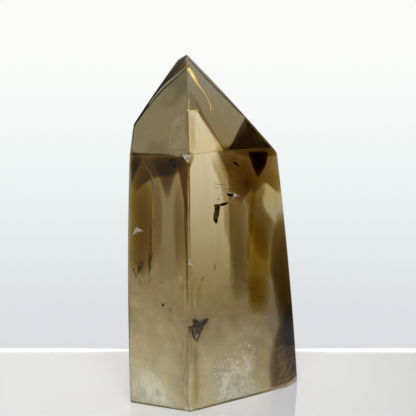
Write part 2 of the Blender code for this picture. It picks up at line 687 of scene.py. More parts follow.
# %% The bands
# smoke, face, how deep, outline in pixels, thickness, softness of the rim
BANDS = {
    "band_left_top": (TEA, LEFT, 3.0, [(131.5, 153.5), (160, 153.5), (189, 153.5), (189, 163), (183, 171),
        (172, 177), (158, 178), (144, 184), (135, 192), (131.5, 180)], 6.4, 0.7),
    # painted shade: dark smoke at the left outline, where the stone shows the dark room
    "band_left_corner": (NIGHT, LEFT, 2.0, [(131, 155), (140, 155), (141, 162), (137, 171), (133.5, 180),
        (131, 186)], 2.6, 0.8),
    "band_left_wedge": (BROWN, LEFT, 5.2, [(153, 156.5), (179, 156.5), (177, 170), (172, 188), (168, 200),
        (163, 190), (157, 172)], 7.0, 0.8),
    "band_left_amber": (AMBER, LEFT, 3.6, [(131, 176), (146, 168), (154, 190), (156, 230), (156, 262),
        (146, 276), (131, 272), (130, 230)], 5.2, 1.0),
    "band_left_strip": (BROWN, LEFT, 2.2, [(154, 176), (160, 176), (163, 215), (162, 250), (157, 264),
        (153, 220)], 2.6, 0.8),
    "band_left_pale": (BROWN, LEFT, 2.4, [(175, 190), (180, 186), (185, 215), (186, 258), (178, 270),
        (173, 230)], 2.8, 0.8),
    # painted shade: dark smoke along the front edge, where the edge bends in darkness
    "band_front_top": (RUSSET, LEFT, 1.0, [(177, 156), (187.6, 156), (188.5, 175), (188.5, 200),
        (187.2, 222), (184, 205), (180, 180)], 1.4, 0.5),
    # painted shade: the dark line along the lower front edge
    "band_front_low": (INK, LEFT, 0.6, [(184, 200), (188.5, 197), (188.8, 240), (188.7, 280), (188.3, 320),
        (187.2, 302), (185.8, 262), (184.5, 230)], 0.95, 0.55),
    "band_horn": (NIGHT, RIGHT, 4.2, [(248.5, 152), (256, 151), (267, 151.5), (267.5, 158), (265.5, 166),
        (261.5, 173), (257.5, 178), (254, 172), (250.5, 162)], 5.6, 0.8),
    "band_right_top": (SHADOW, RIGHT, 3.0, [(214, 150), (232, 145), (250, 143), (277, 142), (284, 160),
        (285, 186), (279, 194), (267, 184), (256, 194), (248, 193), (241, 203), (233, 199), (225, 180)],
        3.2, 0.7),
    "band_right_column": (TEA, RIGHT, 3.2, [(243, 176), (254, 170), (266, 184), (262, 196), (265, 208),
        (276, 226), (274, 250), (266, 264), (256, 256), (249, 235), (246, 205)], 3.8, 0.8),
    "band_right_brown": (BROWN, RIGHT, 7.0, [(210, 157), (222, 154), (248, 153), (252.5, 178), (250, 205),
        (248, 232), (248, 262), (245, 296), (233, 302), (233, 284), (230, 254), (223, 228), (222, 203),
        (218, 178)], 3.1, 0.55),
    "band_right_streak": (AMBER, RIGHT, 2.2, [(252.5, 182), (256, 184), (254.5, 205), (252, 225),
        (249.5, 250), (247, 266), (245.5, 250), (247, 225), (249.5, 200)], 2.6, 0.8),
    "band_right_amber": (HONEY, RIGHT, 4.4, [(250, 213), (262, 222), (268, 245), (271, 270), (267, 288),
        (259, 303), (250, 302), (246, 288), (246, 262), (248, 235)], 5.0, 0.6),
    # painted shade: dark smoke along the right outline, where the stone shows the dark room
    "band_right_edge": (SHADOW, RIGHT, 2.4, [(276, 214), (282.5, 212), (287, 240), (291, 280), (294.5, 320),
        (299, 374), (290, 383), (283, 350), (277.5, 320), (272.6, 292), (268.8, 264), (271.6, 236)],
        3.2, 0.4),
    # painted shade: the same dark right outline, down to the foot
    "band_right_foot": (SHADOW, RIGHT, 1.6, [(281, 318), (292, 300), (297, 340), (300, 376), (290, 386),
        (272, 391), (268, 375), (271, 345)], 4.2, 0.5),
    "band_right_low": (RUSSET, RIGHT, 0.7, [(248, 276), (262, 274), (271, 292), (264, 314), (250, 313),
        (246, 296)], 0.36, 0.7),
    "band_cloud_shade": (SHADOW, RIGHT, 0.6, [(247, 338), (262, 336), (276, 350), (281, 372), (280, 389),
        (262, 394), (252, 380), (247, 360)], 0.3, 0.6),
    "band_foot_strip": (TEA, RIGHT, 0.7, [(191.6, 338), (196, 340), (199, 365), (199.5, 392), (197, 406),
        (191.8, 408), (191.4, 370)], 0.8, 0.6),
    "band_right_glow": (HONEY, RIGHT, 1.2, [(258, 186), (266, 168), (277, 170), (284, 186), (284, 202),
        (276, 212), (266, 206)], 1.2, 0.8),
    # painted shade: the dark line under the shoulder edge
    "band_shoulder_line": (INK, RIGHT, 0.9, [(232, 150.5), (250, 148), (277, 146), (281, 153), (272, 157),
        (250, 157.5), (238, 156)], 0.8, 0.8),
    "band_tip_right": (SHADOW, TIP_RIGHT, 2.5, [(244, 115), (252, 123), (262, 132), (271, 142), (270, 147.5),
        (245, 149), (221, 151), (231, 145), (237, 137), (243, 127), (245.5, 120)], 2.1, 0.6),
    "band_tip_sliver": (SHADOW, TIP_RIGHT, 1.6, [(188.5, 92), (188.5, 109), (197, 109.5), (199, 117),
        (207, 129), (214, 140), (218, 149), (224, 149), (215.5, 134), (207.5, 121), (198, 103), (191, 92)],
        1.0, 0.6),
    "band_tip_edge": (BROWN, TIP_RIGHT, 1.2, [(188, 112), (195, 112), (196, 130), (196, 152), (188.6, 154)],
        1.2, 1.0),
    # painted shade: the dark facet along the left tip ridge
    "band_tip_facet": (SHADOW, TIP_LEFT, 1.4, [(186, 57), (187, 66), (182, 70), (175, 76), (168, 82),
        (160, 90), (155, 96), (151, 99), (158, 88), (168, 74), (178, 61)], 3.0, 0.4),
}
for name, (material, face, deep, pixels, thick, rim) in BANDS.items():
    bm = bmesh.new()
    lens_shape(bm, face, deep, seen(face, deep, pixels), thick, rings=6, sharp=rim)
    finish_piece(name, bm, material)

# %% [markdown]
# ## Milky veils near the foot
#
# The foot of the stone is cloudy.  Real clouds like these are sheets of microscopic bubbles,
# left where a crack closed again while the crystal was still growing.  Several thin curved
# sheets, one behind another, give the same depth as the real thing: each is mostly clear,
# and a pattern of soft noise, denser towards the foot, decides where it turns milky.  Each
# sheet is a closed shell, and only its front wall shows, or it would count twice.

# %% A milky finish
def show(tree, shader, alpha):
    """Show a shell by its front wall alone, with the given cover."""
    link(tree, times(tree, alpha, attribute(tree, "front_wall"), clamp=True), shader.inputs["Alpha"])


def milk_material(name, high, low, top, full, even, patchy, seed, grain=150.0, wisps=0.0,
                  rim_fade=0.0, side=None):
    """Milky below `top` metres and strongest below `full`: partly even, partly in patches,
    with its colour going from `high` to `low` on the way down, fading out at the rim or
    towards one side, given as a face with the two distances across it between which the
    milk ends."""
    m, tree, shader = new_material(name, roughness=0.7, specular=0.1)
    cloud = noise(tree, grain, detail=7.0, rough=0.62, shift=(seed, 2 * seed, 0))
    unsteady = spread(tree, noise(tree, 0.5 * grain, shift=(seed, 5, 0)), 0.3, 0.7, -0.005, 0.005)
    edge = spread(tree, math_node(tree, "ADD", axis_in(tree, 2), unsteady), full, top, 1.0, 0.0)
    thick = math_node(tree, "ADD", spread(tree, cloud, 0.34, 0.66, 0.0, patchy), even)
    if rim_fade:
        edge = times(tree, edge, spread(tree, attribute(tree, "inward"), 0.0, rim_fade))
    if side:
        face, start, end = side
        along = tree.nodes.new("ShaderNodeVectorMath")
        along.operation = "DOT_PRODUCT"
        link(tree, own_place(tree), along.inputs[0])
        right = face_axes(face)[1]
        along.inputs[1].default_value = right
        reach = math_node(tree, "SUBTRACT", along.outputs["Value"], right.dot(FOOT_CORNER))
        jitter = spread(tree, noise(tree, grain, shift=(0, 0, seed)), 0.3, 0.7, -0.001, 0.001)
        reach = math_node(tree, "ADD", reach, jitter)
        edge = times(tree, edge, spread(tree, reach, start * MM, end * MM, 1.0, 0.0))
    alpha = times(tree, thick, edge)
    if wisps:
        thread = noise(tree, 4.0 * grain, detail=7.0, rough=0.75, shift=(seed, 0, seed), bend=1.5)
        off_line = math_node(tree, "ABSOLUTE", math_node(tree, "SUBTRACT", thread, 0.5))
        line = spread(tree, off_line, 0.0, 0.03, 1.0, 0.0)
        patch = spread(tree, noise(tree, 0.7 * grain, shift=(3 * seed, seed, 1)), 0.46, 0.62)
        alpha = math_node(tree, "ADD", alpha, times(tree, times(tree, line, patch), times(tree, edge, wisps)))
    show(tree, shader, alpha)
    low_down = spread(tree, axis_in(tree, 2), 0.002, 0.6 * top, 0.85, 0.0)
    mottle = noise(tree, 2.5 * grain, detail=5.0, rough=0.7, shift=(0, seed, 0))
    tone = math_node(tree, "ADD", low_down, spread(tree, mottle, 0.3, 0.7, -0.15, 0.25), clamp=True)
    link(tree, two_tones(tree, tone, high, low), shader.inputs["Base Color"])
    return m


# An olive sheet under the left tip face, which covers nearly everything behind it: its colour is painted
# light, standing in for the light seen through the tip.
TIP_PAINTED_LIGHT, tree, shader = new_material("tip_painted_light", roughness=0.6, specular=0.1)
cover = spread(tree, noise(tree, 90.0, detail=4.0, shift=(2, 0, 1)), 0.35, 0.65, 0.90, 0.99)
show(tree, shader, times(tree, spread(tree, attribute(tree, "inward"), 0.0, 0.04), cover))
patches = spread(tree, noise(tree, 75.0, detail=2.0), 0.40, 0.60)
link(tree, two_tones(tree, patches, (0.26, 0.24, 0.14), (0.41, 0.35, 0.21)), shader.inputs["Base Color"])
print("haze nodes:", len(tree.nodes))

# %% The veils
OLIVE, CREAM, BRIGHT, PALE = (0.60, 0.50, 0.28), (0.88, 0.82, 0.58), (1.0, 0.93, 0.66), (0.96, 0.97, 0.87)
TIP_BROWN, TIP_GLOW = (0.40, 0.34, 0.20), (0.70, 0.58, 0.36)
VEIL_THICKNESS = 0.06                      # mm
FINE = dict(grain=300.0, rim_fade=0.75)    # a finer grain, that fades out towards the rim
# material, face, how deep, outline in pixels, how far the middle bows inwards
VEILS = {
    # painted light: the olive sheet under the left tip face stands in for the light seen through it
    "veil_tip_left": (TIP_PAINTED_LIGHT,
        TIP_LEFT, 0.8, [(186.6, 69), (180, 75), (168, 85), (157, 97), (149, 106), (140, 118), (133, 129),
        (132, 151), (145, 154), (166, 155), (187.6, 155), (187.6, 130), (187.4, 95)], 0.3),
    "veil_tip_right": (milk_material("tip_right_haze", TIP_BROWN, TIP_BROWN, 0.2, 0.1, 0.95, 0.05, 8.3),
        TIP_RIGHT, 0.5, [(189, 90), (189, 100), (189, 109.6), (193, 109.8), (198.4, 109.6), (194.6, 102),
        (191.5, 94)], 0.1),
    # painted light: a faint orange glow under the left tip face
    "veil_tip_glow": (milk_material("tip_glow", TIP_GLOW, TIP_GLOW, 0.2, 0.1, 0.35, 0.20, 7.7, rim_fade=0.35),
        TIP_LEFT, 0.5, [(172, 120), (180, 113), (187, 112), (187.4, 132), (187.4, 154), (178, 154),
        (167, 154), (169, 138)], 0.1),
    "veil_left_near": (milk_material("milk_left", OLIVE, CREAM, 0.040, 0.020, 0.76, 0.20, 1.0, side=(LEFT,
        -8, 1)),
        LEFT, 1.2, [(128, 240), (160, 240), (187.4, 240), (187.6, 320), (187.8, 370), (188, 414), (160, 412),
        (128, 408), (128, 330)], 0.5),
    "veil_left_mid": (milk_material("milk_left_deep", OLIVE, CREAM, 0.042, 0.025, 0.68, 0.28, 2.3),
        LEFT, 5.0, [(128, 232), (160, 232), (189, 236), (190, 320), (191, 410), (160, 408), (128, 404),
        (128, 330)], 1.5),
    "veil_right_near": (milk_material("milk_right", OLIVE, CREAM, 0.039, 0.014, 0.72, 0.24, 4.1, side=(RIGHT,
        26, 37)),
        RIGHT, 1.3, [(191.6, 236), (215, 236), (250, 236), (280, 240), (292, 300), (296, 350), (298, 392),
        (250, 402), (220, 410), (192.4, 416), (192, 330)], 0.5),
    "veil_right_mid": (milk_material("milk_right_deep", OLIVE, CREAM, 0.042, 0.022, 0.72, 0.26, 6.7,
        side=(RIGHT, 26, 36)),
        RIGHT, 5.5, [(191, 236), (210, 236), (240, 236), (270, 240), (284, 300), (290, 350), (292, 390),
        (250, 402), (220, 408), (192, 412), (191.5, 330)], 2.0),
    "cloud_left": (milk_material("cloud_left", BRIGHT, PALE, 0.030, 0.018, 0.50, 0.50, 3.3, wisps=0.4,
        **FINE),
        LEFT, 0.9, [(124, 356), (144, 354), (160, 368), (175, 390), (184, 418), (160, 418), (140, 416),
        (124, 412)], 0.3),
    "cloud_right": (milk_material("cloud_right", BRIGHT, PALE, 0.031, 0.015, 0.16, 0.95, 5.9, wisps=0.6,
        **FINE),
        RIGHT, 0.9, [(199, 420), (203, 390), (212, 360), (232, 340), (252, 334), (270, 348), (272, 378),
        (262, 398), (234, 412), (210, 418)], 0.3),
}
for name, (material, face, deep, pixels, bow) in VEILS.items():
    bm = bmesh.new()
    lens_shape(bm, face, deep, seen(face, deep, pixels), VEIL_THICKNESS, rings=12, per_side=7, bow=bow)
    finish_piece(name, bm, material, smooth=False)

# %% [markdown]
# ## Flecks
#
# In front of the veils lie hundreds of tiny flat flecks that flash white.  This is a job for
# Geometry Nodes: points are scattered over a curved sheet, in patches, and each point gets
# a small flattened crystal, turned and sized at random.

# %% A tree that scatters flecks over a surface
def scatter_tree():
    tree = bpy.data.node_groups.new("scatter_flecks", "GeometryNodeTree")
    add = tree.interface.new_socket
    add("Surface", in_out="INPUT", socket_type="NodeSocketGeometry")
    for name in ("Per square metre", "Smallest", "Largest", "Thickness", "Top", "Patch size"):
        add(name, in_out="INPUT", socket_type="NodeSocketFloat")
    add("Seed", in_out="INPUT", socket_type="NodeSocketInt")
    add("Material", in_out="INPUT", socket_type="NodeSocketMaterial")
    add("Flecks", in_out="OUTPUT", socket_type="NodeSocketGeometry")
    given = tree.nodes.new("NodeGroupInput").outputs

    place = add_node(tree, "GeometryNodeInputPosition").outputs[0]
    up = add_node(tree, "ShaderNodeSeparateXYZ", Vector=place).outputs[2]
    fall = add_node(tree, "ShaderNodeMapRange", Value=up, From_Min=given["Top"], From_Max=0.0,
                    To_Min=0.0, To_Max=1.0).outputs[0]
    patches = add_node(tree, "ShaderNodeTexNoise", Vector=place, Scale=given["Patch size"], Detail=2.0)
    patches = add_node(tree, "ShaderNodeMapRange", Value=patches.outputs[0], From_Min=0.46, From_Max=0.66,
                       To_Min=0.02, To_Max=1.0).outputs[0]
    density = times(tree, times(tree, fall, patches), given["Per square metre"])
    points = add_node(tree, "GeometryNodeDistributePointsOnFaces", Mesh=given["Surface"], Density=density,
                      Seed=given["Seed"]).outputs["Points"]

    ball = add_node(tree, "GeometryNodeMeshIcoSphere", Radius=1.0, Subdivisions=1).outputs["Mesh"]
    flat = add_node(tree, "ShaderNodeCombineXYZ", X=1.0, Y=0.6, Z=given["Thickness"]).outputs[0]
    fleck = add_node(tree, "GeometryNodeTransform", Geometry=ball, Scale=flat).outputs[0]
    turn = tree.nodes.new("FunctionNodeRandomValue")
    turn.data_type = "FLOAT_VECTOR"
    turn.inputs["Max"].default_value = (6.283, 6.283, 6.283)
    link(tree, given["Seed"], turn.inputs["Seed"])
    size = tree.nodes.new("FunctionNodeRandomValue")
    size.data_type = "FLOAT"
    smallest, largest = (s for s in size.inputs if s.enabled and s.name in ("Min", "Max"))
    link(tree, given["Smallest"], smallest)
    link(tree, given["Largest"], largest)
    link(tree, given["Seed"], size.inputs["Seed"])
    copies = add_node(tree, "GeometryNodeInstanceOnPoints", Points=points, Instance=fleck,
                      Rotation=turn.outputs[0], Scale=next(s for s in size.outputs if s.enabled)).outputs[0]
    real = add_node(tree, "GeometryNodeRealizeInstances", Geometry=copies).outputs[0]
    paint = add_node(tree, "GeometryNodeSetMaterial", Geometry=real, Material=given["Material"]).outputs[0]
    tree.links.new(paint, tree.nodes.new("NodeGroupOutput").inputs[0])
    return tree


SCATTER = scatter_tree()


def glint_material(name, dark, light, rough):
    m, tree, shader = new_material(name, specular=0.05)
    patch = noise(tree, 900.0, detail=2.0)
    link(tree, two_tones(tree, spread(tree, patch, 0.35, 0.65), dark, light), shader.inputs["Base Color"])
    link(tree, spread(tree, patch, 0.3, 0.7, rough, 1.8 * rough), shader.inputs["Roughness"])
    return m


WHITE_GLINT = glint_material("white_glint", (0.80, 0.78, 0.68), (0.96, 0.95, 0.90), 0.25)
FLECK_MARGIN = 0.6 * MM                    # the flecks stand out from their sheet


def scatter(name, face, deep, pixels, **settings):
    """Flecks spread over a curved sheet of their own, made a plain mesh."""
    bm = bmesh.new()
    lens_shape(bm, face, deep, seen(face, deep, pixels), 0.5, rings=4)
    tuck_in(bm, FLECK_MARGIN)
    carrier = new_object(name + "_sheet", new_mesh(name + "_sheet", bm))
    flecks = carrier.modifiers.new("flecks", "NODES")
    flecks.node_group = SCATTER
    names = {s.name: s.identifier for s in SCATTER.interface.items_tree if s.in_out == "INPUT"}
    for key, value in settings.items():
        flecks[names[key.replace("_", " ").capitalize()]] = value
    shape = bpy.data.meshes.new_from_object(carrier.evaluated_get(bpy.context.evaluated_depsgraph_get()))
    bpy.data.objects.remove(carrier)
    shape.name = name
    keep_piece(new_object(name, shape))


print("scatter nodes:", len(SCATTER.nodes))

# %% Flecks in three places
scatter("flecks_chain", RIGHT, 0.6, [(212, 372), (222, 358), (233, 350), (247, 341), (256, 346), (253, 362),
        (245, 376), (232, 384), (218, 384)],
        per_square_metre=2.6e6, smallest=0.06 * MM, largest=0.5 * MM, thickness=0.15, top=0.06,
        patch_size=260.0, seed=4, material=WHITE_GLINT)
scatter("flecks_low", RIGHT, 0.6, [(200, 404), (212, 388), (228, 378), (244, 374), (252, 384), (236, 398),
        (216, 403)],
        per_square_metre=2.6e6, smallest=0.06 * MM, largest=0.42 * MM, thickness=0.15, top=0.05,
        patch_size=300.0, seed=9, material=WHITE_GLINT)
scatter("flecks_left", LEFT, 0.6, [(134, 392), (148, 384), (160, 386), (176, 400), (182, 408), (160, 405),
        (136, 401)],
        per_square_metre=2.2e6, smallest=0.05 * MM, largest=0.36 * MM, thickness=0.15, top=0.04,
        patch_size=300.0, seed=2, material=WHITE_GLINT)

# %% [markdown]
# ## Cracks with painted shine and shade, and dark crumbs
#
# A crack inside quartz is a film of air.  Seen from one side it mirrors the light like
# silver foil, and seen from the other it is black.  So a crack is made here as what the eye
# sees, with its light and shade painted in: thin bright ribbons along its curved front are a
# painted reflection, and thin dark flakes beside them are painted shade.  The same painted
# shine makes the sparkles at the foot and lights the chip, whose frosted break is real.
# Where the stone grew round dirt, there is a brown crumb with ragged edges.

# %% Silver, gold and dark
MOTTLE, tree, shader = new_material("mottled_brown", roughness=0.7, specular=0.05)
shader.inputs["Base Color"].default_value = (0.05, 0.032, 0.012, 1)
specks = spread(tree, noise(tree, 900.0, detail=5.0, rough=0.7, stretch=(1, 1, 0.4)), 0.48, 0.56)
link(tree, times(tree, specks, spread(tree, attribute(tree, "inward"), 0.0, 0.7)), shader.inputs["Alpha"])

# painted reflection: the mirror-bright shine of cracks, of the chip and of the sparkles at the foot
PAINTED_SHINE = glint_material("painted_silver_shine", (0.66, 0.62, 0.50), (0.95, 0.92, 0.82), 0.45)
PAINTED_FLASH = glint_material("painted_gold_flash", (1.0, 0.68, 0.18), (1.0, 0.80, 0.30), 0.5)
PAINTED_FLASH_CORE = glint_material("painted_gold_flash_core", (1.0, 0.88, 0.45), (1.0, 0.94, 0.60), 0.5)
# painted highlight: the golden flash glows by itself through emission, though it is no lamp
for gold, glow_colour, strength in ((PAINTED_FLASH, (1.0, 0.62, 0.12, 1), 0.25),
                                    (PAINTED_FLASH_CORE, (1.0, 0.80, 0.32, 1), 0.5)):
    shader = gold.node_tree.nodes["Principled BSDF"]
    shader.inputs["Emission Color"].default_value = glow_colour
    shader.inputs["Emission Strength"].default_value = strength
HONEY_LINE = glint_material("honey_film", (0.30, 0.18, 0.04), (0.46, 0.29, 0.08), 0.5)
# painted light: the pale band along the left tip ridge
RIDGE_PAINTED_LIGHT = glint_material("ridge_painted_light", (0.34, 0.30, 0.20), (0.48, 0.43, 0.30), 0.5)
PALE_FILM = glint_material("pale_film", (0.40, 0.36, 0.26), (0.62, 0.57, 0.44), 0.6)
# dark films and crumbs, and also painted shade: the black side of cracks and the dark ridge lines
DARK_FILM_AND_SHADE = glint_material("dark_film_and_painted_shade", (0.005, 0.003, 0.001), (0.016, 0.009, 0.004), 0.9)
FLY_BROWN = glint_material("fly_brown", (0.026, 0.016, 0.003), (0.070, 0.045, 0.014), 0.9)
SPECKLE = glint_material("brown_speckle", (0.030, 0.020, 0.008), (0.120, 0.085, 0.040), 0.5)
RUST = glint_material("rust_film", (0.055, 0.022, 0.006), (0.12, 0.055, 0.015), 0.40)
print("materials so far:", len(bpy.data.materials))

# %% Flakes: thin lenses with ragged rims
# material, face, how deep, outline in pixels, thickness, raggedness
FLAKES = {
    # painted shade: these dark flakes are the black side of the crack beside its bright arc
    "crack_flake_long": (SPECKLE, RIGHT, 3.0, [(214, 204.5), (219.5, 204.6), (219, 212), (217.5, 219),
        (216.3, 224), (213, 220), (213.4, 215), (214.2, 209)], 0.25, 0.1),
    "crack_flake_bar": (DARK_FILM_AND_SHADE, RIGHT, 3.0, [(218.5, 205.3), (221, 203.3), (228.2, 202.3), (227, 204),
        (222, 206)], 0.2, 0.1),
    "crack_flake_top": (DARK_FILM_AND_SHADE, RIGHT, 3.0, [(226, 194), (229, 193.6), (233, 195), (230.5, 196.8),
        (227.5, 195.6)], 0.2, 0.1),
    "crack_knot": (PAINTED_SHINE, RIGHT, 2.6, [(233.3, 194.5), (235.5, 193.6), (237.5, 194.9), (236.9, 196.7),
        (235.3, 197.1), (233.1, 196.9)], 0.3, 0.22),
    "crack_mark": (DARK_FILM_AND_SHADE, RIGHT, 2.0, [(233, 161.5), (236.5, 163), (239.5, 166), (236, 165.5),
        (233.6, 163.5)], 0.2, 0.1),
    "crumb_shoulder_upper": (DARK_FILM_AND_SHADE, LEFT, 0.9, [(168.5, 159), (171, 158.2), (174, 158.6), (176.5, 159.8),
        (175.6, 162), (172, 161.6), (169.5, 161.8)], 0.2, 0.25),
    "crumb_shoulder_lower": (DARK_FILM_AND_SHADE, LEFT, 0.9, [(171, 162.8), (174, 163.4), (177, 162.2), (178.6, 164),
        (176.4, 167.2), (174.5, 169.4), (172, 169), (170.2, 166)], 0.2, 0.25),
    "crumb_shoulder_right": (SPECKLE, LEFT, 0.9, [(177.6, 159), (180.5, 158.6), (180.2, 162),
        (178.4, 162.6)], 0.2, 0.25),
    "mottle_left": (MOTTLE, LEFT, 1.0, [(132, 258), (141, 254), (147, 259), (146, 270), (143, 281),
        (138, 284), (133, 276)], 0.1, 0.5),
    "mottle_middle": (MOTTLE, LEFT, 1.0, [(148.5, 250), (152, 247), (153.4, 262), (152, 276), (149, 284),
        (148, 268)], 0.1, 0.4),
    "chip_frost_fill": (PALE_FILM, LEFT, 0.6, [(183.6, 156.2), (186.6, 156.2), (189, 157), (188.4, 160),
        (187.8, 161.4), (185.6, 159)], 0.1, 0.2),
    "flake_left_edge": (PALE_FILM, LEFT, 0.6, [(132.6, 234.3), (136.3, 226.8), (143.5, 231), (139.5, 231.5),
        (136, 233.2), (133, 235.5)], 0.12, 0.08),
    "bright_crumb": (SPECKLE, LEFT, 0.8, [(171.8, 167), (173.2, 166.8), (173.3, 168.2), (171.9, 168.3)],
        0.15, 0.2),
    "crack_dot": (PAINTED_SHINE, RIGHT, 1.0, [(217.6, 198), (219.4, 198), (219.6, 200), (217.8, 200)], 0.2, 0.1),
    "foot_spot": (DARK_FILM_AND_SHADE, LEFT, 1.0, [(162.6, 304), (164.6, 304), (164.4, 306.2), (162.7, 306)], 0.15, 0.3),
    "fly_body": (FLY_BROWN, RIGHT, 0.7, [(191.8, 320.3), (194.5, 319), (197, 319.6), (199.2, 323),
        (200.6, 326), (198, 327.8), (194, 326.8), (191, 328.5), (190, 327), (193, 324)], 0.5, 0.15),
    "fly_wing": (FLY_BROWN, RIGHT, 0.7, [(201.5, 322), (203, 319), (205.5, 318), (208, 319), (206.5, 322.5),
        (204, 325), (202.3, 325.2)], 0.4, 0.15),
    "fly_middle": (SPECKLE, RIGHT, 0.7, [(196, 322), (199.5, 321), (203, 323), (203.5, 326), (200.5, 331),
        (196.5, 334), (193.5, 331), (195, 326)], 0.4, 0.35),
    "fly_tail_right": (FLY_BROWN, RIGHT, 0.7, [(202, 325), (203, 326.5), (200, 333.5), (198, 340),
        (196.5, 340.5), (198.6, 333), (200, 328)], 0.25, 0.12),
    "fly_tail_left": (FLY_BROWN, RIGHT, 0.7, [(190.5, 328), (193, 328.5), (193.2, 332), (195, 338),
        (197, 340.5), (194.5, 340), (191.5, 335)], 0.25, 0.12),
    # the chip's frosted break, with a painted shine
    "chip_frost_middle": (PAINTED_SHINE, RIGHT, 0.7, [(190, 258.5), (191, 261), (192, 264.4), (190.6, 265.4),
        (190, 264)], 0.12, 0.15),
    # painted highlights: sparkles at the foot
    "foot_spark_middle": (PAINTED_SHINE, RIGHT, 0.5, [(191, 408), (194, 407), (197, 409.6), (193, 411)], 0.15, 0.3),
    "foot_spark_right": (PAINTED_SHINE, RIGHT, 0.5, [(199, 408.5), (202, 406.5), (205, 407.4), (201, 409.5)],
        0.15, 0.3),
    "foot_spark_left": (PAINTED_SHINE, LEFT, 0.5, [(184, 408), (187, 406.8), (189, 410), (186, 410.4)], 0.15, 0.3),
}
for name, (material, face, deep, pixels, thick, ragged) in FLAKES.items():
    bm = bmesh.new()
    lens_shape(bm, face, deep, seen(face, deep, pixels), thick, rings=3, per_side=6, ragged=ragged,
               sharp=0.5, seed=len(name))
    finish_piece(name, bm, material)

# %% Threads: thin ribbons
WEB_LINES = [                              # a web of fine cracks in the lowest right corner
    [(268, 353), (276, 349), (284, 345)],
    [(272, 363), (279, 356), (286, 349), (292, 346)],
    [(270, 373), (278, 366), (286, 361), (294, 357)],
    [(279, 379), (283, 370), (288, 361)],
    [(286, 379), (290, 368), (293, 360)],
    [(274, 384), (283, 380), (292, 376)],
]
